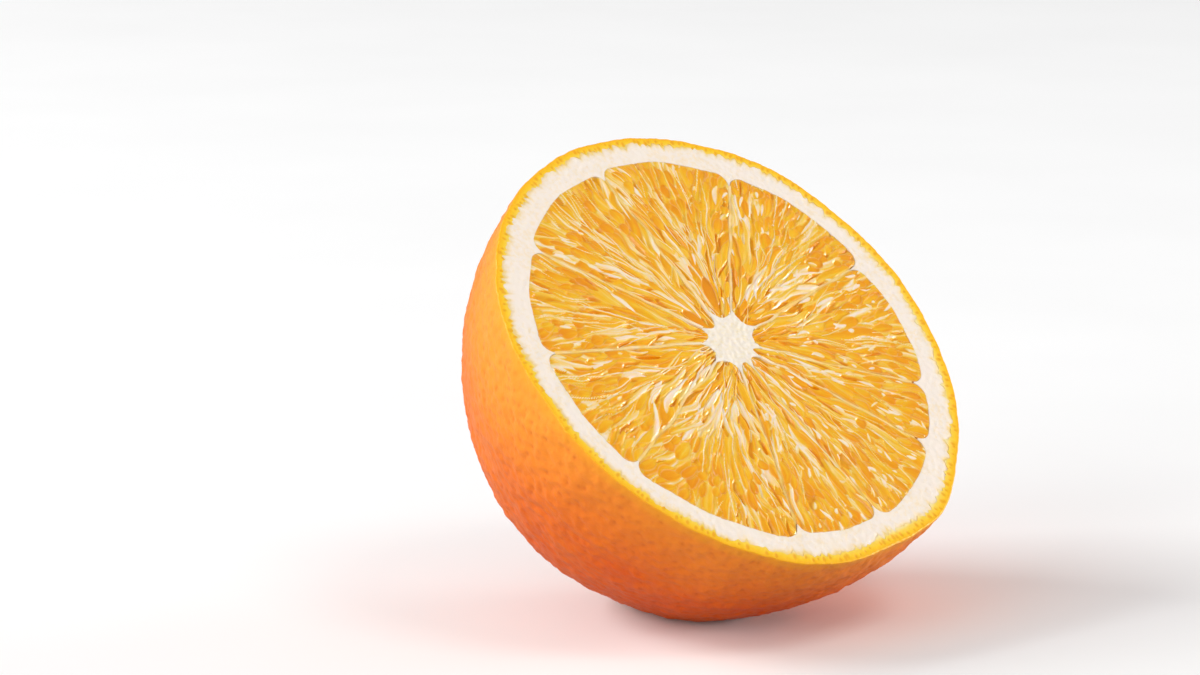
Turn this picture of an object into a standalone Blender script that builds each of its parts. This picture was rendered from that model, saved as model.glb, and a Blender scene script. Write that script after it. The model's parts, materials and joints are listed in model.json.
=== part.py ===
"""Half of a fresh orange, cut across its middle and resting on a small flat spot of its peel.

Frame: metres, +Z up. The origin is the middle of the flat spot, on the surface that the fruit
stands on. The cut face leans back from the front: its normal lies between +Z and -Y.

Each piece is drawn in the fruit's own axes, where +Z comes out of the cut face and the cut is the
plane z = 0, and hangs on one empty that leans and lifts the fruit into place.
"""

import math

import bmesh
import bpy
from mathutils import Matrix, Vector

# Driving dimensions of the fruit, in metres
FRUIT_RADIUS = 0.040  # outside of the peel, at the cut
HALF_DEPTH = 0.048  # from the cut to the stem end
PEEL_WALL = 0.0050  # at the cut
PEEL_WALL_END = 0.0056  # at the stem end
GAP = 0.0003  # between pieces that touch
MEMBRANE_HALF = 0.0003  # half the membrane between two segments

# How it rests
LEAN = math.radians(45)  # of the cut face, from level
FLAT_DEPTH = 0.0014  # how far the flat spot is pressed into the peel

# The segments, seen on the cut face, counter-clockwise
SEGMENT_WIDTHS = [20, 40, 42, 42, 40, 34, 36, 46, 27, 33]  # degrees
FIRST_SEAM = -43  # degrees, from the fruit's +X
CORE_OFFSET = 0.0005  # the core stands this far off the middle, towards the upper edge of the cut
TIP_RADIUS = 0.0040  # from the core's middle to a segment's tip
TIP_ROUND = 0.0022
CORNER_ROUND = 0.0030  # at a segment's two outer corners
CORE_RADIUS = 0.0034  # at the cut
CORE_RADIUS_END = 0.0026

# The stem button
DIMPLE_DEPTH = 0.0014
DIMPLE_WIDTH = 0.0070
BUTTON_RADIUS = 0.0042
BUTTON_LOBES = 5
BUTTON_LOBE_DEPTH = 0.20  # share of the radius
STUB_RADIUS = 0.0015
STUB_HEIGHT = 0.0021

# How finely the curves are drawn
PEEL_STEPS = 56
PROFILE_STEPS = 14
ARC_STEPS = 12
TIP_STEPS = 4
DEPTH_STEPS = 9
DEEPEST_TURN = math.radians(74)  # of the last ring of a segment, along the flesh's outline
RING_STEPS = 40

FLESH_RADIUS = FRUIT_RADIUS - PEEL_WALL
FLESH_DEPTH = HALF_DEPTH - PEEL_WALL_END


def clear_scene():
    for obj in list(bpy.data.objects):
        bpy.data.objects.remove(obj, do_unlink=True)


def material(name, colour, roughness):
    made = bpy.data.materials.new(name)
    made.use_nodes = True
    shader = made.node_tree.nodes["Principled BSDF"]
    shader.inputs["Base Color"].default_value = (*colour, 1.0)
    shader.inputs["Roughness"].default_value = roughness
    shader.inputs["Metallic"].default_value = 0.0
    return made


def add_object(name, mesh, collection, parent, finish):
    obj = bpy.data.objects.new(name, mesh)
    collection.objects.link(obj)
    obj.parent = parent
    obj.data.materials.append(finish)
    return obj


def smooth(obj, angle=35):
    obj.data.shade_smooth()
    obj.data.set_sharp_from_angle(angle=math.radians(angle))


def loft(name, rings):
    """A closed body whose outline is the first ring, pulled through the others to the last."""
    mesh = bpy.data.meshes.new(name)
    body = bmesh.new()
    face = body.faces.new([body.verts.new(point) for point in rings[0]])
    corners = list(face.verts)
    for ring in rings[1:]:
        lower = [body.verts.new(point) for point in ring]
        count = len(ring)
        for i in range(count):
            j = (i + 1) % count
            body.faces.new((corners[i], lower[i], lower[j], corners[j]))
        corners = lower
    body.faces.new(list(reversed(corners)))
    bmesh.ops.recalc_face_normals(body, faces=body.faces)
    body.to_mesh(mesh)
    body.free()
    return mesh


# The fruit's outside and how it stands


def support_height(lean):
    """How high the middle of the cut stands over a floor that touches the whole fruit."""
    return math.hypot(FRUIT_RADIUS * math.sin(lean), HALF_DEPTH * math.cos(lean))


def leaning_axis(collection):
    """The empty that the pieces hang on: it leans the fruit and sets its flat spot on the origin."""
    axis = bpy.data.objects.new("fruit_axis", None)
    collection.objects.link(axis)
    height = support_height(LEAN)
    longer = HALF_DEPTH**2 - FRUIT_RADIUS**2
    behind = longer * math.sin(LEAN) * math.cos(LEAN) / height
    axis.location = (0, -behind, height - FLAT_DEPTH)
    axis.rotation_euler = (LEAN, 0, 0)
    return axis


def outer_depth(radius):
    """Depth of the peel's outside at this distance from the axis, with the stem's dimple."""
    round_depth = HALF_DEPTH * math.sqrt(max(0.0, 1 - (radius / FRUIT_RADIUS) ** 2))
    return round_depth - DIMPLE_DEPTH * math.exp(-((radius / DIMPLE_WIDTH) ** 2))


def peel_profile():
    """From the middle of the hollow, up its wall, over the cut and down the outside."""
    wall_radius = FLESH_RADIUS + GAP
    wall_depth = FLESH_DEPTH + GAP
    points = []
    for i in range(PROFILE_STEPS + 1):
        turn = math.pi / 2 * (1 - i / PROFILE_STEPS)
        points.append((wall_radius * math.cos(turn), -wall_depth * math.sin(turn)))
    for i in range(2 * PROFILE_STEPS + 1):
        turn = math.pi / 2 * i / (2 * PROFILE_STEPS)
        radius = FRUIT_RADIUS * math.cos(turn)
        points.append((radius, -outer_depth(radius)))
    # Both ends sit exactly on the axis
    points[0] = (0.0, points[0][1])
    points[-1] = (0.0, points[-1][1])
    return points


def make_peel(collection, cutters, axis, finish):
    mesh = bpy.data.meshes.new("peel")
    outline = bmesh.new()
    corners = [outline.verts.new((x, 0, z)) for x, z in peel_profile()]
    for first, second in zip(corners, corners[1:]):
        outline.edges.new((first, second))
    outline.to_mesh(mesh)
    outline.free()
    peel = add_object("peel", mesh, collection, axis, finish)
    turn = peel.modifiers.new("turned", "SCREW")
    turn.axis = "Z"
    turn.angle = 2 * math.pi
    turn.steps = PEEL_STEPS
    turn.render_steps = PEEL_STEPS
    turn.use_merge_vertices = True
    turn.merge_threshold = 0.00001
    turn.use_smooth_shade = True
    press = peel.modifiers.new("flat_spot", "BOOLEAN")
    press.operation = "DIFFERENCE"
    press.solver = "EXACT"
    press.object = make_floor_cutter(cutters)
    return peel


def make_floor_cutter(cutters):
    """Everything under the floor plane, which presses the flat spot."""
    size = 3 * FRUIT_RADIUS
    mesh = bpy.data.meshes.new("floor_cutter")
    block = bmesh.new()
    bmesh.ops.create_cube(block, size=size)
    block.to_mesh(mesh)
    block.free()
    cutter = bpy.data.objects.new("floor_cutter", mesh)
    cutter.location = (0, 0, -size / 2)
    cutter.hide_render = True
    cutter.display_type = "WIRE"
    cutters.objects.link(cutter)
    return cutter


# The flesh


def ring_turns():
    """Turns along the flesh's outline from the cut, 0, to the last ring near the stem end."""
    return [DEEPEST_TURN * i / DEPTH_STEPS for i in range(DEPTH_STEPS + 1)]


def distance_to_peel(heading, radius):
    """From the core's middle along a heading to the circle of the flesh."""
    along = CORE_OFFSET * math.sin(heading)
    return -along + math.sqrt(along**2 + radius**2 - CORE_OFFSET**2)


def rounding(share, begin):
    """0 along a straight stretch, rising to 1 at the corner as a quarter circle does."""
    over = max(0.0, (abs(share) - begin) / (1 - begin))
    return 1 - math.sqrt(max(0.0, 1 - over**2))


def segment_ring(middle, half_width, turn):
    """A segment's outline at one depth: round outside, straight flanks and a round tip."""
    radius = FLESH_RADIUS * math.cos(turn)
    depth = FLESH_DEPTH * math.sin(turn)
    corner = min(CORNER_ROUND, 0.3 * radius)
    corner_begin = max(0.2, 1 - corner / (half_width * radius))

    def at(share, distance):
        clear = math.asin(MEMBRANE_HALF / distance)
        heading = middle + share * (half_width - clear)
        x = distance * math.cos(heading)
        y = distance * math.sin(heading) + CORE_OFFSET
        return Vector((x, y, -depth))

    points = []
    for i in range(ARC_STEPS + 1):
        # Points gather towards the two round corners
        share = math.sin(math.pi / 2 * (2 * i / ARC_STEPS - 1))
        heading = middle + share * half_width
        distance = distance_to_peel(heading, radius)
        points.append(at(share, distance - corner * rounding(share, corner_begin)))
    for i in range(2 * TIP_STEPS + 1):
        share = math.sin(math.pi / 2 * (1 - i / TIP_STEPS))
        points.append(at(share, TIP_RADIUS + TIP_ROUND * rounding(share, 0)))
    return points


def make_segments(collection, axis, finish):
    seam = FIRST_SEAM
    for number, width in enumerate(SEGMENT_WIDTHS, start=1):
        middle = math.radians(seam + width / 2)
        half_width = math.radians(width / 2)
        rings = [segment_ring(middle, half_width, turn) for turn in ring_turns()]
        name = f"segment_{number:02d}"
        smooth(add_object(name, loft(name, rings), collection, axis, finish))
        seam += width


def make_core(collection, axis, finish):
    """The white strand down the middle, from the cut to the deepest ends of the segments."""
    length = FLESH_DEPTH * math.sin(DEEPEST_TURN)
    mesh = bpy.data.meshes.new("core")
    body = bmesh.new()
    place = Matrix.Translation((0, CORE_OFFSET, -length / 2))
    bmesh.ops.create_cone(body, cap_ends=True, segments=RING_STEPS, radius1=CORE_RADIUS_END,
                          radius2=CORE_RADIUS, depth=length, matrix=place)
    body.to_mesh(mesh)
    body.free()
    smooth(add_object("core", mesh, collection, axis, finish))


# The stem button at the far end


def make_stem_button(collection, axis, finish):
    """A small lobed disc in the dimple, with the stub of the stem standing on it."""
    seat = outer_depth(BUTTON_RADIUS) + GAP
    outline = [  # radius, depth below the seat, how lobed
        (BUTTON_RADIUS * 0.94, 0.0, 1.0),
        (BUTTON_RADIUS, 0.0003, 1.0),
        (BUTTON_RADIUS * 0.86, 0.0007, 0.9),
        (STUB_RADIUS * 1.35, 0.0009, 0.2),
        (STUB_RADIUS, 0.0012, 0.0),
        (STUB_RADIUS * 0.94, STUB_HEIGHT, 0.0),
    ]
    rings = []
    for radius, below, lobed in outline:
        ring = []
        for i in range(RING_STEPS):
            heading = 2 * math.pi * i / RING_STEPS
            lobe = 1 - lobed * BUTTON_LOBE_DEPTH * (0.5 - 0.5 * math.cos(BUTTON_LOBES * heading))
            ring.append((radius * lobe * math.cos(heading),
                         radius * lobe * math.sin(heading), -seat - below))
        rings.append(ring)
    smooth(add_object("stem_button", loft("stem_button", rings), collection, axis, finish))


def main():
    clear_scene()
    parts = bpy.data.collections.new("orange_half")
    cutters = bpy.data.collections.new("cutters")
    for collection in (parts, cutters):
        bpy.context.scene.collection.children.link(collection)
    axis = leaning_axis(parts)
    make_peel(parts, cutters, axis, material("peel", (0.86, 0.27, 0.03), 0.45))
    make_segments(parts, axis, material("flesh", (0.90, 0.42, 0.04), 0.20))
    make_core(parts, axis, material("pith", (0.93, 0.88, 0.76), 0.80))
    make_stem_button(parts, axis, material("stem", (0.16, 0.25, 0.07), 0.75))


main()
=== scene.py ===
import json
import math

import bpy
import numpy as np
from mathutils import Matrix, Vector, kdtree, noise


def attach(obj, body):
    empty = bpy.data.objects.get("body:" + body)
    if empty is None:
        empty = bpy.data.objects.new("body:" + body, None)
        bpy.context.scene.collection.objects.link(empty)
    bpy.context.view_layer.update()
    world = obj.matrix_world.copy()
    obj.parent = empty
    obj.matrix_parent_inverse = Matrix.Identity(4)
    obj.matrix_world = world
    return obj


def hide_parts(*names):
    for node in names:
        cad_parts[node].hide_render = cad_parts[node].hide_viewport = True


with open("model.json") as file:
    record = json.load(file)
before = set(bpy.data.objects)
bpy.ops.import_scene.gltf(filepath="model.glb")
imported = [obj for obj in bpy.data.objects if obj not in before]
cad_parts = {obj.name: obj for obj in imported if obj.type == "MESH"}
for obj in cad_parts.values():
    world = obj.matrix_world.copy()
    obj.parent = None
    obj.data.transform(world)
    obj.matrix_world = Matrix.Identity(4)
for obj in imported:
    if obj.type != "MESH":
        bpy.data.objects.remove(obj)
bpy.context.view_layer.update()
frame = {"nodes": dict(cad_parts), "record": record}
print("frame loaded")

mm = 0.001

# Where the cut face lies. In face axes u runs right, v up the face and w out of it, in mm.
cutMount = next(m for m in frame["record"]["mounts"] if m["name"] == "cut_face")
faceOut = np.array(cutMount["axis"]) / np.linalg.norm(cutMount["axis"])
faceRight = np.array((1.0, 0.0, 0.0))
faceAxes = np.array((faceRight, np.cross(faceOut, faceRight), faceOut))


def nodePoints(node):
    mesh = frame["nodes"][node].data
    flat = np.empty(3 * len(mesh.vertices), np.float32)
    mesh.vertices.foreach_get("co", flat)
    return flat.reshape(-1, 3).astype(float)


def middleOf(points):
    return (points.min(axis=0) + points.max(axis=0)) / 2


peelPoints = nodePoints("peel") @ faceAxes.T / mm
cutHeight = peelPoints[:, 2].max()
rim = peelPoints[peelPoints[:, 2] > cutHeight - 0.05]
faceMiddle = np.append(middleOf(rim[:, :2]), cutHeight)
fruitRadius = np.ptp(rim[:, 0]) / 2
wallInside = np.sort(np.hypot(*(rim - faceMiddle)[:, :2].T))[0]
halfDepth = cutHeight - peelPoints[:, 2].min()
corePoints = nodePoints("core") @ faceAxes.T / mm - faceMiddle
coreMiddle = middleOf(corePoints[corePoints[:, 2] > -0.05])[:2]
floorNormal = faceAxes @ np.array((0.0, 0.0, 1.0))
floorLevel = -faceMiddle @ floorNormal


def toWorld(points):
    return (np.asarray(points) + faceMiddle) @ faceAxes * mm


def polar(radius, heading, middle=(0.0, 0.0)):
    return middle[0] + radius * np.cos(heading), middle[1] + radius * np.sin(heading)


# Small helpers


def softNoise(points, size, seed=0):
    shift = Vector((7.3, 3.1, 5.7)) * seed
    return np.array([noise.noise(Vector(p) / size + shift) for p in points])


def smoothStep(value, low, high):
    t = np.clip((value - low) / (high - low), 0, 1)
    return t * t * (3 - 2 * t)


def hump(value, middle, width):
    return np.exp(-(((value - middle) / width) ** 2))


def turnFrom(angle, middle):
    return (angle - middle + math.pi) % (2 * math.pi) - math.pi


def aroundHump(heading, at, wide):
    # at and wide are in degrees
    return hump(np.degrees(turnFrom(heading, math.radians(at))), 0, wide)


def gridFaces(grid):
    return np.stack((grid[:-1, :-1], grid[1:, :-1], grid[1:, 1:], grid[:-1, 1:]), -1).reshape(-1, 4)


def makePiece(name, points, faces, finish, nodes, values=None, crease=55):
    # Points are in face axes. A face list that points inwards is turned round.
    first = np.array([face[:3] for face in faces])
    world = toWorld(points)
    corners = world[first] - world.mean(axis=0)
    if np.linalg.det(corners).sum() < 0:
        faces = [face[::-1] for face in faces]
    mesh = bpy.data.meshes.new(name)
    mesh.from_pydata(world.tolist(), [], faces)
    mesh.shade_smooth()
    mesh.set_sharp_from_angle(angle=math.radians(crease))
    for key, value in (values or {}).items():
        kind = "FLOAT" if value.ndim == 1 else "FLOAT_VECTOR"
        layer = mesh.attributes.new(key, kind, "POINT")
        layer.data.foreach_set("value" if value.ndim == 1 else "vector", value.astype(np.float32).ravel())
    mesh.materials.append(finish)
    piece = bpy.data.objects.new(name, mesh)
    bpy.context.scene.collection.objects.link(piece)
    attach(piece, "root")
    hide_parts(*nodes)
    print(name, len(points), "points")
    return piece


def stitchRings(rings):
    # A closed body from a point, rings whose counts match or halve or double, and a point
    faces = []
    start = 0
    for lower, upper in zip(rings, rings[1:]):
        n, m = len(lower), len(upper)
        a, b = start, start + n
        if n == 1:
            faces += [(a, b + j, b + (j + 1) % m) for j in range(m)]
        elif m == 1:
            faces += [(a + (j + 1) % n, a + j, b) for j in range(n)]
        elif n == m:
            faces += [(a + j, b + j, b + (j + 1) % n, a + (j + 1) % n) for j in range(n)]
        elif n == 2 * m:
            for j in range(m):
                low, mid, high = a + 2 * j, a + 2 * j + 1, a + (2 * j + 2) % n
                left, right = b + j, b + (j + 1) % m
                faces += [(low, left, mid), (mid, left, right), (mid, right, high)]
        else:
            for j in range(n):
                left, right = a + j, a + (j + 1) % n
                low, mid, high = b + 2 * j, b + 2 * j + 1, b + (2 * j + 2) % m
                faces += [(left, low, mid), (left, mid, right), (right, mid, high)]
        start += n
    return np.concatenate(rings), faces


# Shader helpers


def newMaterial(name):
    made = bpy.data.materials.new(name)
    made.use_nodes = True
    tree = made.node_tree
    return made, tree, tree.nodes["Principled BSDF"]


def addNode(tree, kind, links=None, **settings):
    node = tree.nodes.new(kind)
    for key, value in settings.items():
        if hasattr(node, key):
            setattr(node, key, value)
        else:
            node.inputs[key.replace("_", " ")].default_value = value
    for socket, source in (links or {}).items():
        tree.links.new(source, node.inputs[socket])
    return node


def attribute(tree, name, output="Fac"):
    return addNode(tree, "ShaderNodeAttribute", attribute_name=name).outputs[output]


def math2(tree, operation, a, b):
    node = addNode(tree, "ShaderNodeMath", operation=operation)
    for socket, value in zip(node.inputs, (a, b)):
        if isinstance(value, (int, float)):
            socket.default_value = value
        else:
            tree.links.new(value, socket)
    return node.outputs[0]


def mixColours(tree, factor, a, b):
    node = addNode(tree, "ShaderNodeMix", data_type="RGBA")
    for place, value in ((0, factor), (6, a), (7, b)):  # 6 and 7 are its colour sockets
        if isinstance(value, bpy.types.NodeSocket):
            tree.links.new(value, node.inputs[place])
        else:
            node.inputs[place].default_value = value
    return node.outputs[2]


def ramp(tree, source, stops):
    node = addNode(tree, "ShaderNodeValToRGB", {"Fac": source})
    scale = node.color_ramp
    while len(scale.elements) < len(stops):
        scale.elements.new(0.5)
    for element, (place, colour) in zip(scale.elements, stops):
        element.position = place
        element.color = colour if len(colour) == 4 else (*colour, 1.0)
    return node.outputs["Color"]


def hexColour(code):
    parts = [int(code[i:i + 2], 16) / 255 for i in (0, 2, 4)]
    return (*[((c + 0.055) / 1.055) ** 2.4 if c > 0.04 else c / 12.92 for c in parts], 1.0)


def grey(value):
    return (value, value, value, 1.0)


def fleckGroup():
    # Scattered soft flecks with a fine fibre between them, used on every white part of the fruit
    group = bpy.data.node_groups.new("pithFlecks", "ShaderNodeTree")
    group.interface.new_socket("Fleck Size", in_out="INPUT", socket_type="NodeSocketFloat")
    group.interface.new_socket("Amount", in_out="INPUT", socket_type="NodeSocketFloat")
    group.interface.new_socket("Mask", in_out="OUTPUT", socket_type="NodeSocketFloat")
    group.interface.new_socket("Height", in_out="OUTPUT", socket_type="NodeSocketFloat")
    inlet = group.nodes.new("NodeGroupInput")
    outlet = group.nodes.new("NodeGroupOutput")
    place = addNode(group, "ShaderNodeTexCoord").outputs["Object"]
    scale = math2(group, "DIVIDE", 1.0, inlet.outputs["Fleck Size"])
    coarse = addNode(group, "ShaderNodeTexNoise", {"Vector": place, "Scale": scale},
                     Detail=3.0, Roughness=0.6)
    broad = addNode(group, "ShaderNodeTexNoise", {"Vector": place}, Scale=160.0, Detail=1.0)
    level = math2(group, "MULTIPLY", coarse.outputs["Fac"], math2(group, "ADD", broad.outputs["Fac"], 0.5))
    spread = addNode(group, "ShaderNodeMapRange", {"Value": level})
    spread.inputs["From Min"].default_value = 0.5
    spread.inputs["From Max"].default_value = 0.72
    mask = math2(group, "MULTIPLY", spread.outputs[0], inlet.outputs["Amount"])
    group.links.new(mask, outlet.inputs["Mask"])
    fine = addNode(group, "ShaderNodeTexNoise", {"Vector": place}, Scale=2600.0, Detail=4.0, Roughness=0.65)
    group.links.new(fine.outputs["Fac"], outlet.inputs["Height"])
    return group


flecks = fleckGroup()


def useFlecks(tree, size, amount):
    node = addNode(tree, "ShaderNodeGroup", node_tree=flecks)
    node.inputs["Fleck Size"].default_value = size
    node.inputs["Amount"].default_value = amount
    return node


# The segments as the frame gives them, with how each looks on the cut

segmentLooks = [  # share of the fruit's radius reached, tip in mm, how leafy, how feathered in degrees
    {"reach": 0.862, "tip": 3.6, "leafy": 0.35, "feather": 10},
    {"reach": 0.860, "tip": 4.2, "leafy": 0.65, "feather": 12},
    {"reach": 0.890, "tip": 5.0, "leafy": 0.80, "feather": 16},
    {"reach": 0.876, "tip": 4.4, "leafy": 0.90, "feather": 20, "pools": [(8.8, 0.12, 3.4, 1.15)]},
    {"reach": 0.872, "tip": 3.4, "leafy": 1.00, "feather": 18, "pools": [(6.4, 0.5, 2.6, 0.9)]},
    {"reach": 0.872, "tip": 4.1, "leafy": 1.00, "feather": 16},
    {"reach": 0.882, "tip": 4.3, "leafy": 1.00, "feather": 18},
    {"reach": 0.886, "tip": 4.4, "leafy": 1.00, "feather": 26},
    {"reach": 0.872, "tip": 3.9, "leafy": 0.40, "feather": 8},
    {"reach": 0.872, "tip": 3.8, "leafy": 0.40, "feather": 10},
]

fleshShape = {
    "cornerRound": 2.3, "tipRound": 2.2, "seamGap": 0.13, "deepestTurn": math.radians(74),
    "sway": 0.75, "swaySize": 6.5,  # how far the seams wander, and over what length, mm
    "swayFrom": (5.0, 10.0), "swayTo": (24.0, 31.0),  # where that starts and ends, mm from the core
}


def readSegment(number, looks):
    node = f"segment_{number:02d}"
    points = nodePoints(node) @ faceAxes.T / mm - faceMiddle
    outline = points[points[:, 2] > -0.05][:, :2] - coreMiddle
    far = np.hypot(*outline.T) > 0.5 * fruitRadius
    centre = math.atan2(*outline.mean(axis=0)[::-1])
    turns = turnFrom(np.arctan2(outline[far, 1], outline[far, 0]), centre)
    clear = math.asin(0.3 / np.hypot(*outline[far].T).max())
    return {"node": node, "middle": centre + (turns.max() + turns.min()) / 2,
            "half": np.ptp(turns) / 2 + clear, "deep": -points[:, 2].min(), "number": number, **looks}


segments = [readSegment(i, looks) for i, looks in enumerate(segmentLooks, start=1)]
fleshDepth = max(segment["deep"] for segment in segments)
print("fruit depth", halfDepth, "flesh depth", fleshDepth)


def rounding(share, begin):
    over = np.clip((np.abs(share) - begin) / (1 - begin), 0, 1)
    return 1 - np.sqrt(1 - over**2)


def segmentReach(segment, share, turn=0.0):
    # From the core's middle to the segment's outer skin, at a share of its half width
    reach = segment["reach"] * fruitRadius * math.cos(turn)
    corner = min(fleshShape["cornerRound"], 0.3 * reach)
    begin = max(0.2, 1 - corner / (segment["half"] * reach))
    heading = segment["middle"] + share * segment["half"]
    along = coreMiddle[0] * np.cos(heading) + coreMiddle[1] * np.sin(heading)
    wave = 0.18 * np.sin(7 * heading + segment["number"]) + 0.10 * np.sin(19 * heading)
    return reach - along + wave * math.cos(turn) - corner * rounding(share, begin)


def segmentTip(segment, share):
    return segment["tip"] + fleshShape["tipRound"] * rounding(share, 0.0)


def seamSway(number, r):
    # How far the skin that follows a segment wanders from its straight line
    line = np.stack((r, np.full_like(r, 13.0 * number), np.zeros_like(r)), -1)
    inner, outer = fleshShape["swayFrom"], fleshShape["swayTo"]
    wave = fleshShape["sway"] * softNoise(line, fleshShape["swaySize"])
    return wave * smoothStep(r, *inner) * (1 - smoothStep(r, *outer))


def sideSway(segment, share, r):
    before = (segment["number"] - 2) % len(segments) + 1
    return seamSway(segment["number"], r) * (1 + share) / 2 + seamSway(before, r) * (1 - share) / 2


def fleshEdge(heading, which, turn=0.0):
    # Reach or tip of whichever segment lies at each heading
    shares = np.array([turnFrom(heading, segment["middle"]) / segment["half"] for segment in segments])
    nearest = np.abs(shares).argmin(axis=0)
    found = np.zeros(len(heading))
    for i, segment in enumerate(segments):
        share = np.clip(shares[i][nearest == i], -1, 1)
        edge = segmentReach(segment, share, turn) if which == "reach" else segmentTip(segment, share)
        found[nearest == i] = edge
    return found


# Pulp: each segment's cut top is painted over, sac by sac

pulp = {
    "cell": 0.137,  # spacing of the mesh, mm
    "bed": -0.42, "highest": 0.12, "relief": 0.46,
    "warp": ((6.0, 0.8), (1.9, 0.16)),  # how the sacs wander: size and amount, mm
    "soften": 2,  # how often the heights are smoothed
    "cluster": 5.5,  # pale sacs stand in groups of about this size, mm
    "borderDip": 0.07, "sideTone": 0.3,
}

# How many to a square cm, half length and half width in mm, tone from deep amber 0 to cream 1.
# A kind with a high order lies over the others, and inner is the share of the area left free of it.
sacKinds = {
    "amber": {"many": 27, "long": (2.4, 6.0), "wide": (0.72, 1.45), "tone": (0.16, 0.46),
              "level": (-0.30, -0.06), "dome": 0.60, "brim": 0.70, "soft": 0.22, "order": (0.0, 1.3)},
    "pale": {"many": 27, "long": (2.0, 5.4), "wide": (0.36, 0.82), "tone": (0.54, 0.94),
             "level": (-0.24, -0.03), "dome": 0.9, "brim": 0.20, "soft": 0.60, "order": (0.5, 1.5)},
    "gap": {"many": 7, "long": (0.9, 2.6), "wide": (0.18, 0.40), "tone": (-0.05, 0.14),
            "level": (-0.42, -0.28), "dome": 0.2, "brim": 0.0, "soft": 0.45, "order": (0.6, 1.6)},
    "line": {"many": 11, "long": (2.2, 6.5), "wide": (0.14, 0.22), "tone": (0.60, 0.86),
             "level": (-0.20, 0.02), "dome": 1.0, "brim": 0.0, "soft": 0.60, "order": (1.0, 2.0)},
    "drop": {"many": 12, "long": (1.0, 2.4), "wide": (0.55, 1.20), "tone": (0.08, 0.38),
             "level": (-0.24, -0.08), "dome": 0.45, "brim": 0.95, "soft": 0.22, "order": (1.2, 1.8),
             "inner": 0.42},
    "fleck": {"many": 22, "long": (0.4, 1.4), "wide": (0.24, 0.55), "tone": (0.66, 1.00),
              "level": (-0.14, 0.02), "dome": 0.8, "brim": 0.0, "soft": 0.60, "order": (1.4, 2.2),
              "lean": 20},
}
# A pool's highlightSide of 2.0 puts its painted highlight off the pool.
poolSac = {"dome": 0.25, "brim": 0.7, "soft": 0.2, "tone": 0.02, "level": -0.30, "lean": 0.0, "bend": 0.0,
           "tilt": 0.0, "highlightSide": 2.0, "order": 1.9}


def laySacs(rng, segment):
    sacs = []
    reach = segment["reach"] * fruitRadius
    leafy = segment["leafy"]
    area = segment["half"] * (reach**2 - segment["tip"] ** 2) / 100
    scarce = {"pale": 0.15 + 0.85 * leafy, "fleck": 1.05 - leafy, "line": 0.5 + 0.5 * leafy}
    for name, kind in sacKinds.items():
        for _ in range(round(area * kind["many"] * scarce.get(name, 1.0))):
            r = reach * math.sqrt(rng.uniform(kind.get("inner", 0.015), 1.03))
            share = rng.uniform(-1, 1) if name != "line" else np.clip(rng.normal(0, 0.42), -1, 1)
            grown = 0.45 + 0.55 * smoothStep(r, 4, 17)
            pick = rng.random()
            spot = Vector((*polar(r, segment["middle"] + share * segment["half"]), 5.0)) / pulp["cluster"]
            if name == "pale" and noise.noise(spot) < -0.12 and pick < 0.8:
                continue
            sacs.append({
                "r": r, "share": share, "dome": kind["dome"], "brim": kind["brim"], "soft": kind["soft"],
                "long": rng.uniform(*kind["long"]) * grown, "wide": rng.uniform(*kind["wide"]) * grown,
                "tone": rng.uniform(*kind["tone"]), "level": rng.uniform(*kind["level"]),
                "lean": rng.normal(0, kind.get("lean", 7)), "bend": rng.normal(0, 0.10),
                "tilt": rng.normal(0, 0.08), "highlightSide": rng.uniform(-0.5, 0.7),
                "order": rng.uniform(*kind["order"])})
    for r, share, long, wide in segment.get("pools", []):
        sacs.append({"r": r, "share": share, "long": long, "wide": wide, **poolSac})
    return sorted(sacs, key=lambda sac: sac["order"])


def wander(places):
    # Moves the places that sacs are painted at, so that no sac is a plain oval
    shifts = np.zeros((len(places), 2))
    for i, (size, amount) in enumerate(pulp["warp"]):
        for axis in (0, 1):
            shifts[:, axis] += amount * softNoise(places, size, 2 + 2 * i + axis)
    return shifts


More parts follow.
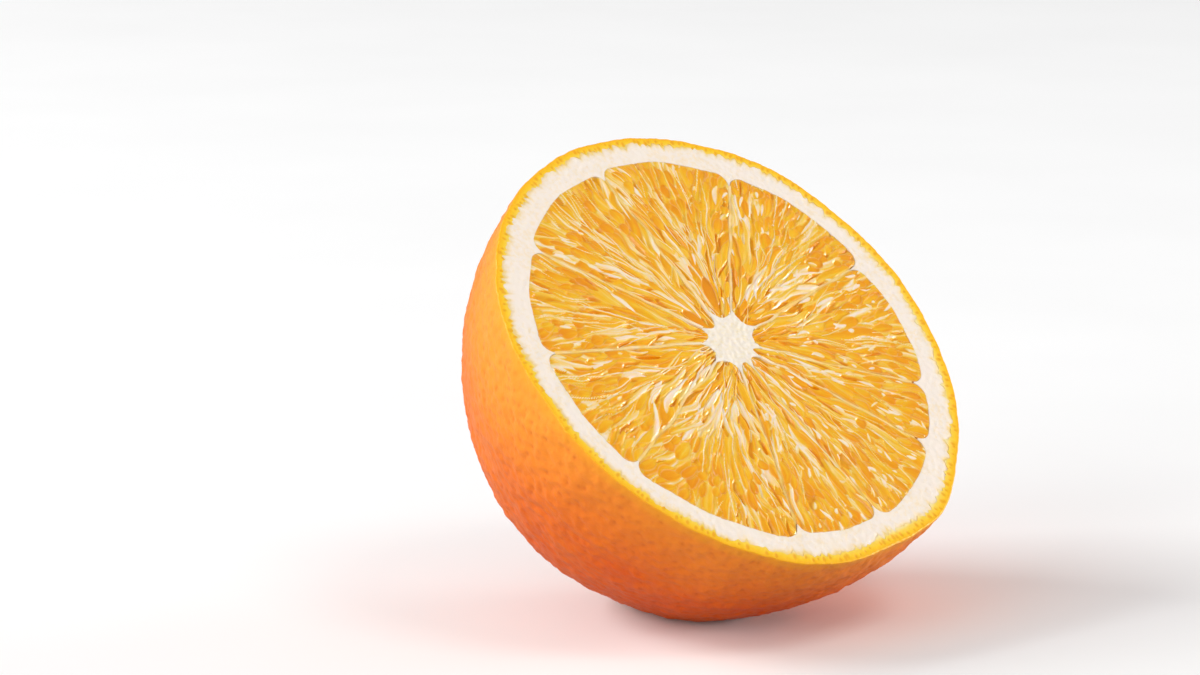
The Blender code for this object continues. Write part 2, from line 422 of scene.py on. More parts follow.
def paintSacs(rng, segment, x, y):
    # x runs from the core along the segment's middle and y across it, in mm
    places = np.stack((x, y, np.full_like(x, 10.0 * segment["number"])), -1)
    height = pulp["bed"] + 0.25 * softNoise(places, 1.6)
    tone = 0.22 + 0.15 * softNoise(places, 0.8, 1)
    edge = np.zeros_like(x)
    grain = np.stack((y, x, np.zeros_like(x)), -1)
    shifts = wander(places) * smoothStep(np.hypot(x, y), 3, 14)[:, None]
    x, y = x + shifts[:, 0], y + shifts[:, 1]
    feather = math.radians(segment["feather"])
    for count, sac in enumerate(laySacs(rng, segment)):
        theta = sac["share"] * segment["half"]
        cx, cy = polar(sac["r"], theta)
        opening = feather * sac["share"] * smoothStep(sac["r"], 4, 16)
        facing = theta + opening + math.radians(sac["lean"])
        dx, dy = x - cx, y - cy
        near = np.nonzero(dx * dx + dy * dy < sac["long"] ** 2 * 1.1)[0]
        dx, dy = dx[near], dy[near]
        a = (dx * math.cos(facing) + dy * math.sin(facing)) / sac["long"]
        across = -dx * math.sin(facing) + dy * math.cos(facing)
        across = across - (sac["bend"] + 0.22 * opening) * a * a * sac["long"]
        taper = np.clip(1 - a * a, 0, 1) ** 0.62 * (1 + 0.34 * a) + 1e-4
        rho = np.abs(across) / (sac["wide"] * taper)
        inside = (rho < 1.0) & (np.abs(a) < 1.0)
        near, a, across, rho, taper = near[inside], a[inside], across[inside], rho[inside], taper[inside]
        cover = smoothStep(1 - rho, 0.0, sac["soft"])
        body = sac["wide"] * np.minimum(taper, 1.0)
        side = across / sac["wide"]
        up = sac["level"] + sac["dome"] * pulp["relief"] * body * np.sqrt(1 - rho**2) + sac["tilt"] * side
        up += 0.08 * sac["brim"] * hump(rho, 0.88, 0.14)
        # Painted highlight: a pale streak along one side of each sac, placed across it by highlightSide, and
        # edges painted a little darker than the middle as painted shade. The change along the sac is its own
        # colour.
        toneWithHighlight = sac["tone"] + 0.28 * sac["dome"] * hump(side, sac["highlightSide"], 0.22) - 0.12 * a - 0.06 * rho
        height[near] += cover * (up - height[near])
        tone[near] += cover * (toneWithHighlight - tone[near])
        edge[near] += cover * (sac["brim"] * hump(rho, 0.90, 0.12) - edge[near])
        grain[near] = np.stack((across, a * sac["long"], np.full_like(a, 3.7 * count)), -1)
    return height, tone, edge, grain


def softened(grid):
    # A step between two sacs is rounded by the juice that wets it
    for _ in range(pulp["soften"]):
        grid = np.pad(grid, 1, mode="edge")
        grid = (grid[:-2] + 2 * grid[1:-1] + grid[2:]) / 4
        grid = (grid[:, :-2] + 2 * grid[:, 1:-1] + grid[:, 2:]) / 4
    return grid


def growSegment(segment, finish):
    rng = np.random.default_rng(40 + segment["number"])
    reach = segment["reach"] * fruitRadius
    rows = round((reach - segment["tip"]) / pulp["cell"])
    columns = round(2 * segment["half"] * reach / pulp["cell"] * 0.92)
    even = np.linspace(-1, 1, columns + 1)
    share = 0.72 * even + 0.28 * np.sin(math.pi / 2 * even)
    t = np.linspace(0, 1, rows + 1)
    low, high = segmentTip(segment, share), segmentReach(segment, share)
    r = low[None, :] + (high - low)[None, :] * t[:, None]
    seam = fleshShape["seamGap"]
    theta = share[None, :] * (segment["half"] - np.arcsin(seam / r))
    allShares = np.broadcast_to(share[None, :], r.shape).ravel()
    theta = theta + sideSway(segment, allShares, r.ravel()).reshape(r.shape) / r
    x, y = polar(r, theta)
    flatX, flatY = x.ravel(), y.ravel()
    height, tone, edge, grain = paintSacs(rng, segment, flatX, flatY)
    # The top dips to its membranes and is level with the knife's cut
    flank = ((1 - np.abs(share))[None, :] * (segment["half"] * r)).ravel()
    ends = np.minimum(r - low[None, :], high[None, :] - r).ravel()
    border = np.minimum(flank, ends)
    height = np.minimum(softened(height.reshape(r.shape)).ravel(), pulp["highest"])
    height = height * smoothStep(border, -0.3, 0.35)
    height = height - pulp["borderDip"] * (1 - smoothStep(border, 0.0, 0.4))
    edge = np.maximum(edge, 0.6 * (1 - smoothStep(border, 0.05, 0.35)))
    u, v = polar(r, segment["middle"] + theta, coreMiddle)
    top = np.stack((u.ravel(), v.ravel(), height), -1)
    index = np.arange(len(top)).reshape(rows + 1, columns + 1)
    loop = np.concatenate((index[0, :-1], index[:-1, -1], index[-1, :0:-1], index[:0:-1, 0]))
    loopShare = allShares[loop]
    loopT = np.broadcast_to(t[:, None], r.shape).ravel()[loop]
    # The sides narrow towards the stem end
    points, faces = [top], gridFaces(index).tolist()
    upper, start = loop, len(top)
    for turn in np.linspace(0, fleshShape["deepestTurn"], 12)[1:]:
        inner = segmentTip(segment, loopShare)
        outer = segmentReach(segment, loopShare, turn)
        distance = inner + (np.maximum(outer, inner + 0.4) - inner) * loopT
        heading = segment["middle"] + loopShare * (segment["half"] - np.arcsin(seam / distance))
        heading = heading + sideSway(segment, loopShare, distance) / distance
        drop = np.full(len(loop), -fleshDepth * math.sin(turn))
        ring = np.stack((*polar(distance, heading, coreMiddle), drop), -1)
        lower = np.arange(start, start + len(loop))
        faces += np.stack((upper, lower, np.roll(lower, -1), np.roll(upper, -1)), -1)[:, ::-1].tolist()
        points.append(ring)
        upper, start = lower, start + len(loop)
    points.append(ring.mean(axis=0)[None])
    faces += [(upper[i - 1], start, upper[i]) for i in range(len(upper))]
    points = np.concatenate(points)
    rest = len(points) - len(top)
    values = {
        "tone": np.append(tone, np.full(rest, pulp["sideTone"])),
        "edge": np.append(edge, np.full(rest, pulp["sideTone"])),
        "grain": np.concatenate((grain, np.zeros((rest, 3)))),
    }
    return makePiece(f"pulp_{segment['number']:02d}", points, [tuple(face) for face in faces], finish,
                     [segment["node"]], values)


def pulpMaterial():
    made, tree, shader = newMaterial("wetPulp")
    grain = attribute(tree, "grain", "Vector")
    along = addNode(tree, "ShaderNodeVectorMath", {0: grain}, operation="MULTIPLY")
    along.inputs[1].default_value = (3.2, 0.42, 1.0)
    streaks = addNode(tree, "ShaderNodeTexNoise", {"Vector": along.outputs[0]},
                      Scale=1.0, Detail=3.0, Roughness=0.6)
    swing = math2(tree, "MULTIPLY", math2(tree, "SUBTRACT", streaks.outputs["Fac"], 0.5), 0.42)
    level = math2(tree, "ADD", attribute(tree, "tone"), swing)
    colour = ramp(tree, level, [
        (0.00, hexColour("EE9606")), (0.20, hexColour("F3A50A")), (0.40, hexColour("F8BB1A")),
        (0.58, hexColour("F9C84A")), (0.76, hexColour("FBD48C")), (1.00, hexColour("FDE5D2"))])
    skin = math2(tree, "MULTIPLY", attribute(tree, "edge"), 0.62)
    colour = mixColours(tree, skin, colour, hexColour("FBD48C"))
    tree.links.new(colour, shader.inputs["Base Color"])
    rough = ramp(tree, level, [(0.2, grey(0.14)), (0.9, grey(0.34))])
    tree.links.new(rough, shader.inputs["Roughness"])
    bump = addNode(tree, "ShaderNodeBump", {"Height": streaks.outputs["Fac"]}, Strength=0.35, Distance=0.0002)
    tree.links.new(bump.outputs[0], shader.inputs["Normal"])
    shader.inputs["Subsurface Weight"].default_value = 0.60
    shader.inputs["Subsurface Radius"].default_value = (1.0, 0.60, 0.25)
    shader.inputs["Subsurface Scale"].default_value = 0.0005
    shader.inputs["Coat Weight"].default_value = 0.22
    shader.inputs["Coat Roughness"].default_value = 0.10
    shader.inputs["IOR"].default_value = 1.36
    return made


pulpFinish = pulpMaterial()
for segment in segments:
    growSegment(segment, pulpFinish)


# The white parts

white = {
    "wall": 1.4, "rimColumns": 1152, "annulusRows": 44,  # wall is the depth of the pith under the skin, mm
    "overlap": 0.06, "backGap": 0.1, "sunk": 0.10,
    "stainAt": 268, "stainWide": 30,  # the yellower stretch of the ring, degrees
}


def pithMaterial(name, tint, fleck, amount):
    made, tree, shader = newMaterial(name)
    spots = useFlecks(tree, 0.0007, amount)
    yellow = addNode(tree, "ShaderNodeMath", {0: spots.outputs["Mask"], 1: attribute(tree, "stain")},
                     operation="ADD")
    yellow.use_clamp = True
    colour = mixColours(tree, yellow.outputs[0], hexColour(tint), hexColour(fleck))
    tree.links.new(colour, shader.inputs["Base Color"])
    rough = ramp(tree, spots.outputs["Height"], [(0.3, grey(0.62)), (0.7, grey(0.82))])
    tree.links.new(rough, shader.inputs["Roughness"])
    bump = addNode(tree, "ShaderNodeBump", {"Height": spots.outputs["Height"]},
                   Strength=0.35, Distance=0.00025)
    tree.links.new(bump.outputs[0], shader.inputs["Normal"])
    shader.inputs["Subsurface Weight"].default_value = 0.25
    shader.inputs["Subsurface Radius"].default_value = (1.0, 0.85, 0.65)
    shader.inputs["Subsurface Scale"].default_value = 0.0003
    return made


pithFinish = pithMaterial("pithWhite", "F7E9DC", "F3D38A", 0.34)
coreFinish = pithMaterial("coreWhite", "F6EBDE", "F0DCA6", 0.4)
membraneFinish = pithMaterial("membraneSkin", "F8E4C4", "FACB66", 0.25)


# The fruit's outline, a little out of round

lumps = [(47, 15, 1.05), (300, 13, 0.85), (20, 12, 0.35), (150, 25, 0.25), (-15, 14, -0.25)]  # degrees, mm
swells = ((17.0, 0, 0.45), (5.0, 1, 0.22), (1.4, 5, 0.09))  # size, seed, mm
dimple = {"depth": 1.4, "width": 7.0}


def skinPoint(heading, turn, inset=0.0):
    # A point of the skin at a turn from the cut, 0, to the stem end, a quarter circle
    swell = sum(size * aroundHump(heading, at, wide) for at, wide, size in lumps) * math.cos(turn) ** 2
    down = np.full(len(heading), -halfDepth * math.sin(turn))
    place = np.stack((*polar(fruitRadius * math.cos(turn), heading), down), -1)
    for size, seed, amount in swells:
        swell = swell + amount * softNoise(place, size, seed)
    radius = (fruitRadius - inset + swell) * math.cos(turn)
    depth = (halfDepth - inset + swell) * math.sin(turn) - dimple["depth"] * hump(radius, 0, dimple["width"])
    return np.stack((*polar(radius, heading), -np.maximum(depth, 0.0)), -1)


def headings(count):
    return 2 * math.pi * np.arange(count) / count


def countAt(turn, most):
    # Fewer points go round where the fruit narrows
    narrow = math.cos(turn)
    halvings = 0 if narrow > 0.5 else min(6, int(math.log2(1 / max(narrow, 0.01))))
    return most >> halvings


zest = {
    "width": 1.14, "least": 0.65, "most": 2.6, "ragged": ((4.0, 0.40), (0.9, 0.55)),
    "fullness": ((0, 65, 0.40), (-80, 40, 0.35)),  # heading and spread in degrees, mm more
    "glandStep": 1.15, "gland": (0.33, 0.50), "glandReach": 1.2,
    "bulge": 0.60, "bulgeWide": 0.30,  # the band is wider behind a gland
}
zestRng = np.random.default_rng(7)
glandCount = round(2 * math.pi * fruitRadius / zest["glandStep"])
glandHeading = (np.arange(glandCount) + zestRng.uniform(-0.38, 0.38, glandCount)) * 2 * math.pi / glandCount
glandDepth = zestRng.uniform(0.55, 1.25, glandCount)
glandSize = zestRng.uniform(0.6, 1.2, glandCount) * (zestRng.random(glandCount) < 0.8)


def glandField(heading, inset):
    # How deep a point of the cut zest lies in an oil gland, 0 to 1
    field = np.zeros(len(heading))
    for at, depth, size in zip(glandHeading, glandDepth, glandSize):
        arc = turnFrom(heading, at) * fruitRadius
        near = np.abs(arc) < zest["glandReach"]
        wide, tall = zest["gland"]
        part = hump(arc[near], 0, wide * max(size, 0.1)) * hump(inset[near], depth, tall * max(size, 0.1))
        field[near] = np.maximum(field[near], part * (size > 0))
    return field


def zestWidth(heading):
    ring = np.stack((*polar(fruitRadius, heading), np.zeros(len(heading))), -1)
    width = np.full(len(heading), zest["width"])
    for at, wide, size in zest["fullness"]:
        width += size * aroundHump(heading, at, wide)
    for i, (size, amount) in enumerate(zest["ragged"]):
        width += amount * softNoise(ring, size, i)
    for at, depth, size in zip(glandHeading, glandDepth, glandSize):
        arc = turnFrom(heading, at) * fruitRadius
        near = np.abs(arc) < zest["glandReach"]
        width[near] += zest["bulge"] * size * depth * hump(arc[near], 0, zest["bulgeWide"])
    return np.clip(width, zest["least"], zest["most"])


around = headings(white["rimColumns"])
bandWidth = zestWidth(around)
rimRadius = np.hypot(*skinPoint(around, 0.0)[:, :2].T)


def wallRings(inset, most, steps):
    # Rings below the skin, from near the cut down to the stem end
    return [skinPoint(headings(countAt(turn, most)), turn, inset)
            for turn in np.linspace(0.12, math.pi / 2, steps)[:-1]]


def onFloor(points):
    # Presses what would sink below the floor into the flat spot
    sunk = np.minimum(points @ floorNormal - floorLevel, 0.0)
    return points - sunk[:, None] * floorNormal


def makePith():
    innerU, innerV = polar(fleshEdge(around, "reach") - white["overlap"], around, coreMiddle)
    outerU, outerV = polar(rimRadius - bandWidth + white["overlap"], around)
    low = aroundHump(around, white["stainAt"], white["stainWide"])
    rings, stains = [], []
    for t in np.linspace(0, 1, white["annulusRows"]) ** 0.9:
        u, v = innerU + (outerU - innerU) * t, innerV + (outerV - innerV) * t
        ring = np.stack((u, v, np.zeros_like(u)), -1)
        lift = 0.07 * softNoise(ring, 0.9) + 0.10 * softNoise(ring, 4.0, 2)
        near = (1 - t) * np.hypot(outerU - innerU, outerV - innerV)
        ring[:, 2] = lift - white["sunk"] + 0.08 * smoothStep(near, 0, 0.6)
        rings.append(ring)
        toZest = np.hypot(outerU - u, outerV - v)
        patch = 0.5 + 0.9 * softNoise(ring, 2.2, 3)
        stain = hump(toZest, 0, 0.7) * patch * 1.4 + 0.45 * low * np.clip(patch - 0.45, 0, 1)
        stains.append(np.clip(stain, 0, 1))
    top = len(rings) * len(around)
    # The inside of the bowl follows the flesh, and the outside runs under the skin
    inside = []
    for turn in np.linspace(0.06, math.pi / 2, 16)[:-1]:
        count = countAt(turn, white["rimColumns"])
        heading = headings(count)
        notched = fleshEdge(heading, "reach", turn) + 0.05
        smooth = (wallInside - 0.05) * math.cos(turn)
        keep = math.cos(turn) ** 0.5 if turn < fleshShape["deepestTurn"] else 0.0
        radius = smooth + (notched - smooth) * keep
        inside.append(np.stack((*polar(radius, heading, coreMiddle * math.cos(turn)),
                                np.full(count, -fleshDepth * math.sin(turn) - 0.1)), -1))
    bottom = np.array([(0.0, 0.0, -fleshDepth - 0.2)])
    wall = white["wall"] + white["backGap"]
    outside = wallRings(wall, white["rimColumns"], 22)
    pole = np.array([(0.0, 0.0, -(halfDepth - wall - dimple["depth"]))])
    chain = [bottom, *inside[::-1], *rings, *outside, pole]
    points, faces = stitchRings(chain)
    before = sum(len(ring) for ring in inside) + 1
    stain = np.zeros(len(points))
    stain[before:before + top] = np.concatenate(stains)
    return makePiece("pith", onFloor(points), faces, pithFinish, ["peel"], {"stain": stain})


makePith()


core = {"columns": 480, "overlap": 0.07, "sunk": 0.10, "slimTo": 2.6}


def makeCore():
    rim = core["columns"]
    heading = headings(rim)
    reach = fleshEdge(heading, "tip") + core["overlap"]
    rings, stain = [], []
    for t in np.linspace(0, 1, 26)[1:]:
        ring = np.stack((*polar(reach * t, heading, coreMiddle), np.zeros(rim)), -1)
        fibre = softNoise(ring, 0.7)
        ring[:, 2] = -core["sunk"] + 0.13 * fibre + 0.10 * softNoise(ring, 2.2, 2)
        rings.append(ring)
        stain.append(np.clip(0.5 * np.abs(softNoise(ring * (1, 3, 1), 1.3, 5)) * (t < 0.8), 0, 1))
    middle = np.array([(*coreMiddle, -core["sunk"])])
    walls = []
    for share in np.linspace(0, 1, 14)[1:]:
        depth = fleshDepth * math.sin(fleshShape["deepestTurn"]) * share
        slim = reach + (core["slimTo"] - reach) * share**2
        walls.append(np.stack((*polar(slim, heading, coreMiddle), np.full(rim, -depth)), -1))
    end = np.array([(*coreMiddle, walls[-1][0, 2])])
    points, faces = stitchRings([middle, *rings, *walls, end])
    values = np.zeros(len(points))
    values[1:1 + rim * len(stain)] = np.concatenate(stain)
    return makePiece("core_star", points, faces, coreFinish, ["core"], {"stain": values})


makeCore()

membrane = {
    "thick": 0.27, "stations": 110,  # thick is half the blade, mm
    "runIn": 0.5,  # how far the blade runs into the core and the peel, mm
    "whiteTo": (5.5, 12.0),  # white at the core, golden further out, mm
    "sunk": (0.06, 0.06, 0.03, 0.02, 0.00, 0.00, 0.02, 0.10, 0.12, 0.08),  # below the cut, mm
}


def makeMembrane(left, right):
    # The skin between two segments: a thin blade from the core to the peel and down to the stem end
    heading = left["middle"] + left["half"]
    name = f"membrane_{left['number']:02d}"
    share = np.array([1.0])
    begin = min(segmentTip(left, share)[0], segmentTip(right, share)[0]) - membrane["runIn"]
    sides, golden = [], []
    turns = [0.0, *np.linspace(0.006, fleshShape["deepestTurn"], 14)]
    for sign in (1, -1):
        grid = []
        for row, turn in enumerate(turns):
            end = min(segmentReach(left, share, turn)[0], segmentReach(right, share, turn)[0])
            end = max(end + membrane["runIn"], begin + 0.5)
            r = begin + (end - begin) * np.linspace(0, 1, membrane["stations"])
            line = np.stack((r, np.full_like(r, turn * 9.0), np.full_like(r, 31.0 * left["number"])), -1)
            thick = membrane["thick"] * (1 + 0.2 * softNoise(line, 2.0)) * (0.75 if row == 0 else 1.0)
            sway = 0.05 * softNoise(line, 3.0, 4) + seamSway(left["number"], r)
            crest = -0.03 + 0.16 * softNoise(line, 2.2, 6) - membrane["sunk"][left["number"] - 1]
            u, v = polar(r, heading, coreMiddle)
            off = sway + sign * thick
            u, v = u - off * math.sin(heading), v + off * math.cos(heading)
            depth = fleshDepth * math.sin(turn) - crest * (row < 2)
            grid.append(np.stack((u, v, -depth), -1))
            golden.append(smoothStep(r, *membrane["whiteTo"]) * (0.75 + 0.5 * softNoise(line, 1.2, 7)))
        sides.append(np.array(grid))
    rows, columns = len(turns), membrane["stations"]
    points = np.concatenate([side.reshape(-1, 3) for side in sides])
    front = np.arange(rows * columns).reshape(rows, columns)
    back = front + rows * columns
    faces = gridFaces(front).tolist() + gridFaces(back)[:, ::-1].tolist()
    for first, second in ((front[0], back[0]), (back[-1], front[-1]), (back[:, 0], front[:, 0]),
                          (front[:, -1], back[:, -1])):
        faces += np.stack((first[:-1], first[1:], second[1:], second[:-1]), -1).tolist()
    makePiece(name, points, [tuple(face) for face in faces], membraneFinish, ["core"],
              {"stain": np.concatenate(golden)}, crease=35)


for left, right in zip(segments, segments[1:] + segments[:1]):
    makeMembrane(left, right)


# The coloured skin

rind = {
    "columns": 1152, "cell": 0.36, "bandRows": 13, "denseRows": 6,
    "poreStep": 1.40, "poreWidth": 0.36, "poreDepth": 0.15, "poreNudge": 0.28,
    "bumps": ((3.4, 0.16), (1.3, 0.22)),  # size and height, mm
    # Paler patches on two sides: painted sheen where the light catches the skin, over its uneven colour
    "cheeksAndSheens": ((168, 33, 0.50), (330, 20, 0.10)),  # paler sides: heading and spread in degrees, strength
}
goldenAngle = 2.399963


def poreTree():
    # Pores lie on an even spiral, each nudged
    rng = np.random.default_rng(11)
    area = 2 * math.pi * fruitRadius * halfDepth * 0.9
    count = round(area / rind["poreStep"] ** 2)
    tree = kdtree.KDTree(count)
    for i in range(count):
        lift = (i + 0.5) / count
        turn = math.asin(lift)
        at = skinPoint(np.array([i * goldenAngle]), turn)[0] + rng.normal(0, rind["poreNudge"], 3)
        tree.insert(at, i)
    tree.balance()
    return tree, rng.uniform(0.3, 1.0, count)


def makeRind(finish):
    pores, poreSize = poreTree()
    chain = []
    inward = []  # mm in from the skin on the cut band, and how deep in a gland or pore
    # Over the stem end from the inside, up to the cut
    chain.append(np.array([(0.0, 0.0, -(halfDepth - white["wall"] - dimple["depth"]))]))
    chain += wallRings(white["wall"], rind["columns"], 20)[::-1]
    hidden = sum(len(ring) for ring in chain)
    for t in np.linspace(1, 0, rind["bandRows"]):
        inset = t * bandWidth
        radius = rimRadius - inset
        ring = np.stack((*polar(radius, around), np.zeros(len(around))), -1)
        gland = glandField(around, inset)
        ring[:, 2] = 0.05 * softNoise(ring, 0.7) - 0.10 * gland - 0.16 * (t == 0) - 0.03
        chain.append(ring)
        inward.append(np.stack((inset, gland), -1))
    step = rind["cell"] / fruitRadius
    turns = [0.006, 0.014, 0.024, 0.034, *np.arange(0.044, math.pi / 2 - 0.02, step * 0.88)]
    for row, turn in enumerate(turns):
        count = countAt(turn, rind["columns"] >> (row >= rind["denseRows"]))
        heading = headings(count)
        ring = skinPoint(heading, turn)
        found = [pores.find(p) for p in ring]
        away = np.array([distance for _, _, distance in found])
        size = np.array([poreSize[number] for _, number, _ in found])
        pit = size * hump(away, 0, rind["poreWidth"])
        swell = sum(tall * softNoise(ring, wide, 2 + i) for i, (wide, tall) in enumerate(rind["bumps"]))
        swell = swell * smoothStep(turn, 0.0, 0.06) - rind["poreDepth"] * pit
        ring = ring + ring / np.linalg.norm(ring, axis=1)[:, None] * swell[:, None]
        chain.append(ring)
        inward.append(np.stack((np.zeros(count), pit), -1))
    chain.append(np.array([(0.0, 0.0, -(halfDepth - dimple["depth"]))]))
    points, faces = stitchRings(chain)
    marks = np.zeros((len(points), 2))
    shown = np.concatenate(inward)
    marks[hidden:hidden + len(shown)] = shown
    points = onFloor(points)
    side = np.arctan2(points[:, 1], points[:, 0])
    # Painted sheen: the paler side patches fade out lower down the skin.
    cheekAndSheen = sum(strength * aroundHump(side, at, wide) for at, wide, strength in rind["cheeksAndSheens"])
    cheekAndSheen *= 1 - smoothStep(-points[:, 2], 12, 40)
    below = np.clip(-points[:, 2], 0, 60)
    values = {"inset": marks[:, 0], "pore": marks[:, 1], "below": below, "cheekAndSheen": cheekAndSheen}
    return makePiece("rind", points, faces, finish, ["peel"], values)


def rindMaterial():
    made, tree, shader = newMaterial("waxedRind")
    place = addNode(tree, "ShaderNodeTexCoord").outputs["Object"]
    broad = addNode(tree, "ShaderNodeTexNoise", {"Vector": place}, Scale=70.0, Detail=2.0)
    mottle = addNode(tree, "ShaderNodeTexNoise", {"Vector": place}, Scale=900.0, Detail=3.0, Roughness=0.6)
    level = math2(tree, "ADD", math2(tree, "MULTIPLY", broad.outputs["Fac"], 0.6),
                  math2(tree, "MULTIPLY", mottle.outputs["Fac"], 0.4))
    skin = ramp(tree, level, [(0.35, hexColour("E45707")), (0.52, hexColour("EA6208")),
                              (0.68, hexColour("EF6E0D"))])
    # Painted light and shade: the skin is painted paler near the cut and on the sheen patches, and the orange
    # deepens further down, where less light reaches
    paler = addNode(tree, "ShaderNodeMapRange", {"Value": attribute(tree, "below")})
    paler.inputs["From Max"].default_value = 17.0
    paler.inputs["To Min"].default_value = 0.60
    paler.inputs["To Max"].default_value = 0.0
    fade = math2(tree, "ADD", paler.outputs[0], attribute(tree, "cheekAndSheen"))
    skin = mixColours(tree, math2(tree, "MINIMUM", fade, 0.9), skin, hexColour("F89D2E"))
    # The skin's pits are painted darker red-orange: painted shade in them.
    skin = mixColours(tree, math2(tree, "MULTIPLY", attribute(tree, "pore"), 0.48), skin, hexColour("C24006"))
    # Painted glow: the skin within about 2.3 mm of the cut is painted golden, for light shining through the
    # thin rim.
    paintedRimGlow = ramp(tree, attribute(tree, "below"), [(0.0, grey(1.0)), (0.35, grey(0.5)), (1.0, grey(0.0))])
    paintedRimGlow.node.color_ramp.interpolation = "EASE"
    shallow = addNode(tree, "ShaderNodeMapRange", {"Value": attribute(tree, "below")})
    shallow.inputs["From Max"].default_value = 2.3
    tree.links.new(shallow.outputs[0], paintedRimGlow.node.inputs["Fac"])
    skin = mixColours(tree, paintedRimGlow, skin, hexColour("F6A21C"))
    # On the cut itself the zest is golden, and its oil glands are darker ovals
    band = ramp(tree, attribute(tree, "inset"), [(0.0, hexColour("FBB410")), (0.40, hexColour("FFCA22")),
                                                 (0.75, hexColour("FDD452")), (1.0, hexColour("FCE4A6"))])
    wide = addNode(tree, "ShaderNodeMapRange", {"Value": attribute(tree, "inset")})
    wide.inputs["From Max"].default_value = 2.1
    tree.links.new(wide.outputs[0], band.node.inputs["Fac"])
    gland = addNode(tree, "ShaderNodeMapRange", {"Value": attribute(tree, "pore")})
    gland.inputs["From Min"].default_value = 0.25
    gland.inputs["From Max"].default_value = 0.75
    band = mixColours(tree, math2(tree, "MULTIPLY", gland.outputs[0], 0.7), band, hexColour("EFA010"))
    onCut = addNode(tree, "ShaderNodeMapRange", {"Value": attribute(tree, "inset")})
    onCut.inputs["From Min"].default_value = 0.0
    onCut.inputs["From Max"].default_value = 0.1
    colour = mixColours(tree, onCut.outputs[0], skin, band)
    tree.links.new(colour, shader.inputs["Base Color"])
    rough = ramp(tree, mottle.outputs["Fac"], [(0.3, grey(0.36)), (0.7, grey(0.50))])
    tree.links.new(rough, shader.inputs["Roughness"])
    fine = addNode(tree, "ShaderNodeTexNoise", {"Vector": place}, Scale=1500.0, Detail=3.0, Roughness=0.55)
    bump = addNode(tree, "ShaderNodeBump", {"Height": fine.outputs["Fac"]}, Strength=0.40, Distance=0.0003)
    tree.links.new(bump.outputs[0], shader.inputs["Normal"])
    shader.inputs["Subsurface Weight"].default_value = 0.12
    shader.inputs["Subsurface Radius"].default_value = (1.0, 0.35, 0.08)
    shader.inputs["Subsurface Scale"].default_value = 0.0012
    shader.inputs["Specular IOR Level"].default_value = 0.27
    return made


makeRind(rindMaterial())


# The stem button in its dimple

button = {"radius": 4.2, "lobes": 5, "lobeDepth": 0.30, "rings": 22, "around": 240,
          "stub": 1.5, "stubHeight": 1.1, "sunk": 0.25}


def makeButton():
    seat = halfDepth - dimple["depth"] * hump(button["radius"], 0, dimple["width"]) - button["sunk"]
    heading = headings(button["around"])
    lobe = np.abs(np.cos(button["lobes"] * heading / 2)) ** 0.7
    outline = button["radius"] * (1 - button["lobeDepth"] * (1 - lobe))
    rings = []
    under = -seat + 0.35
    for share in (0.3, 0.7, 0.97):
        rings.append(np.stack((*polar(outline * share, heading), np.full(len(heading), under)), -1))
    for t in np.linspace(1.0, 0.0, button["rings"]):
        radius = button["stub"] + (outline - button["stub"]) * t
        ring = np.stack((*polar(radius, heading), np.zeros(len(heading))), -1)
        crease = np.stack((heading * 9, np.full_like(heading, t * 2), np.zeros_like(heading)), -1)
        wrinkle = 0.12 * softNoise(crease, 1.0)
        thick = 0.62 * (1 - t**3) + 0.35 * t * (1 - t) + 0.30 * (1 - t) ** 3
        ring[:, 2] = -seat - 0.12 - thick - wrinkle * t + 0.25 * t**4 * lobe
        rings.append(ring)
    base = rings[-1][:, 2].mean()
    for share in np.linspace(0, 1, 7)[1:]:
        radius = button["stub"] * (1 - 0.10 * share + 0.06 * np.sin(7 * heading) * share)
        level = np.full(len(heading), base - share * button["stubHeight"])
        rings.append(np.stack((*polar(radius, heading), level), -1))
    for t in (0.85, 0.6, 0.35, 0.15):
        ring = np.stack((*polar(button["stub"] * 0.9 * t, heading), level), -1)
        ring[:, 2] += 0.25 * (1 - t) + 0.10 * softNoise(ring, 0.4)
        rings.append(ring)
    low = np.array([(0.0, 0.0, under)])
    high = np.array([(0.0, 0.0, rings[-1][:, 2].mean())])
    points, faces = stitchRings([low, *rings, high])
    woody = smoothStep(-points[:, 2], -base - 0.1, -base + 0.6)
    return makePiece("stem_calyx", points, faces, buttonMaterial(), ["stem_button"], {"woody": woody})


def buttonMaterial():
    made, tree, shader = newMaterial("dryCalyx")
    place = addNode(tree, "ShaderNodeTexCoord").outputs["Object"]
    patch = addNode(tree, "ShaderNodeTexNoise", {"Vector": place}, Scale=700.0, Detail=4.0, Roughness=0.6)
    leaf = ramp(tree, patch.outputs["Fac"], [(0.3, hexColour("4C5A22")), (0.55, hexColour("74803A")),
                                             (0.75, hexColour("9A8A4C"))])
    bark = ramp(tree, patch.outputs["Fac"], [(0.3, hexColour("4A3218")), (0.7, hexColour("9C7A4A"))])
    colour = mixColours(tree, attribute(tree, "woody"), leaf, bark)
    tree.links.new(colour, shader.inputs["Base Color"])
    rough = ramp(tree, patch.outputs["Fac"], [(0.3, grey(0.6)), (0.7, grey(0.85))])
    tree.links.new(rough, shader.inputs["Roughness"])
    bump = addNode(tree, "ShaderNodeBump", {"Height": patch.outputs["Fac"]}, Strength=0.5, Distance=0.0003)
    tree.links.new(bump.outputs[0], shader.inputs["Normal"])
    return made


makeButton()


# Floor, lights and camera

studio = {"floorSize": 12.0, "world": 0.40, "bounce": 0.55}

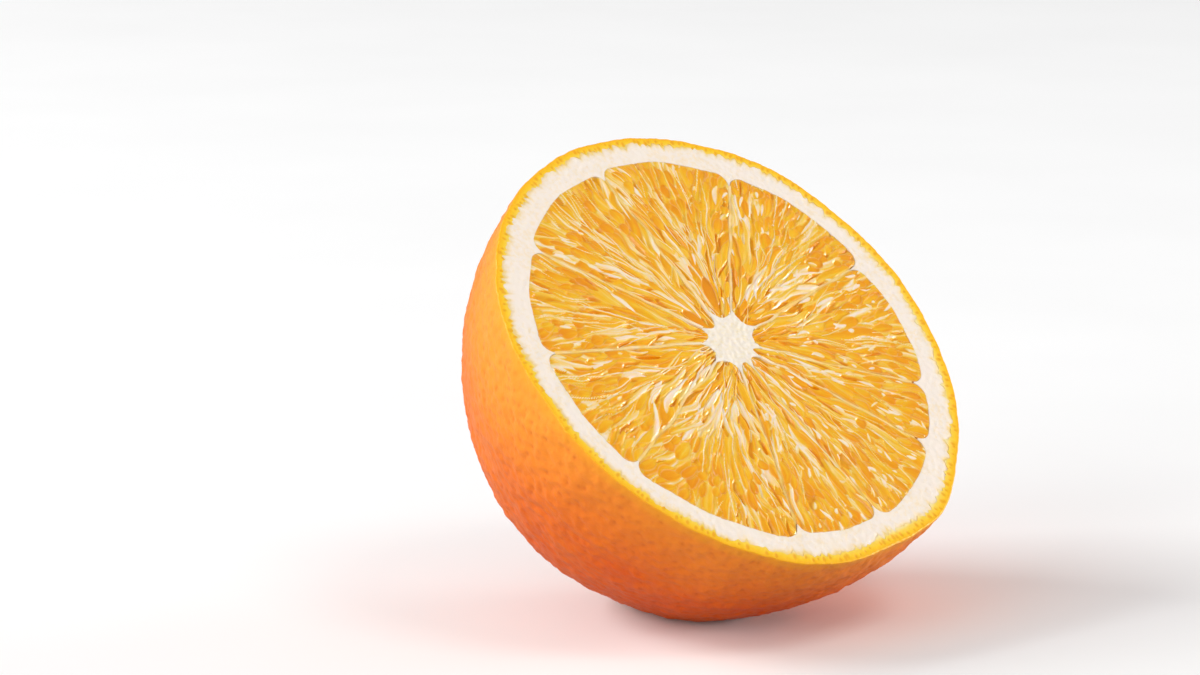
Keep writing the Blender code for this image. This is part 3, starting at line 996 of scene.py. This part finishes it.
softBoxes = {  # places and sizes in metres, power in watts
    "key": {"place": (0.3, -1.5, 2.3), "size": (0.8, 0.8), "power": 10.5, "aim": (0, 0, 0.03)},
    "left": {"place": (-2.3, -0.1, 0.9), "size": (1.5, 1.2), "power": 22.0, "aim": (0, 0, 0.03)},
    "front": {"place": (-1.15, -2.05, 0.30), "size": (1.0, 0.4), "power": 9.0, "aim": (0, 0, 0.03)},
    "back": {"place": (-1.5, 1.6, 1.4), "size": (1.5, 1.1), "power": 50.0, "aim": (0, 0, 0.02)},
    "low": {"place": (1.9, -0.7, 0.20), "size": (0.9, 0.34), "power": 34.0, "aim": (0, 0, 0.02)},
}

# right and down are shares of the picture's width that the aim is off the middle of the cut
look = {"azimuth": -41.67, "elevation": 11.2, "distance": 0.62, "lens": 121.8, "sensor": 36.0,
        "right": 0.11145, "down": 0.0043}


def makeFloor():
    mesh = bpy.data.meshes.new("studio_floor")
    half = studio["floorSize"] / 2
    corners = [(-half, -half, 0), (half, -half, 0), (half, half, 0), (-half, half, 0)]
    mesh.from_pydata(corners, [], [(0, 1, 2, 3)])
    made, tree, shader = newMaterial("paleFloor")
    place = addNode(tree, "ShaderNodeTexCoord").outputs["Object"]
    grain = addNode(tree, "ShaderNodeTexNoise", {"Vector": place}, Scale=12.0, Detail=2.0)
    seen = ramp(tree, grain.outputs["Fac"], [(0.3, grey(0.92)), (0.7, grey(0.94))])
    # The floor throws less light back up than it shows, as a matt sheet over a dark table does
    direct = addNode(tree, "ShaderNodeLightPath").outputs["Is Camera Ray"]
    tree.links.new(mixColours(tree, direct, grey(studio["bounce"]), seen), shader.inputs["Base Color"])
    shader.inputs["Roughness"].default_value = 0.9
    mesh.materials.append(made)
    floor = bpy.data.objects.new("studio_floor", mesh)
    bpy.context.scene.collection.objects.link(floor)


def softBox(name, place, size, power, aim):
    light = bpy.data.lights.new(name, "AREA")
    light.shape = "RECTANGLE"
    light.size, light.size_y = size
    light.energy = power
    lamp = bpy.data.objects.new(name, light)
    lamp.location = place
    lamp.rotation_euler = (Vector(aim) - Vector(place)).to_track_quat("-Z", "Y").to_euler()
    bpy.context.scene.collection.objects.link(lamp)


def makeCamera():
    # It stands left of the face and a little above the table, and the fruit sits right of the middle
    azimuth, elevation = math.radians(look["azimuth"]), math.radians(look["elevation"])
    target = Vector(toWorld((0.0, 0.0, 0.0)))
    back = Vector((math.sin(azimuth) * math.cos(elevation), -math.cos(azimuth) * math.cos(elevation),
                   math.sin(elevation)))  # from the fruit to the camera
    data = bpy.data.cameras.new("camera")
    data.lens = look["lens"]
    data.sensor_width = look["sensor"]
    data.clip_start = 0.01
    data.clip_end = 50.0
    camera = bpy.data.objects.new("camera", data)
    bpy.context.scene.collection.objects.link(camera)
    camera.location = target + back * look["distance"]
    facing = (-back).to_track_quat("-Z", "Y")
    width = look["sensor"] / look["lens"] * look["distance"]
    aim = target - facing @ Vector((look["right"] * width, -look["down"] * width, 0))
    camera.rotation_euler = (aim - camera.location).to_track_quat("-Z", "Y").to_euler()
    bpy.context.scene.camera = camera


def makeWorld():
    world = bpy.data.worlds.new("studio")
    bpy.context.scene.world = world
    world.use_nodes = True
    tree = world.node_tree
    direct = addNode(tree, "ShaderNodeLightPath").outputs["Is Camera Ray"]
    sky = mixColours(tree, direct, grey(studio["world"]), grey(1.0))
    tree.links.new(sky, tree.nodes["Background"].inputs["Color"])


makeFloor()
makeWorld()
for name, box in softBoxes.items():
    softBox(name, **box)
makeCamera()
bpy.context.scene.view_settings.view_transform = "Standard"
print("scene built")
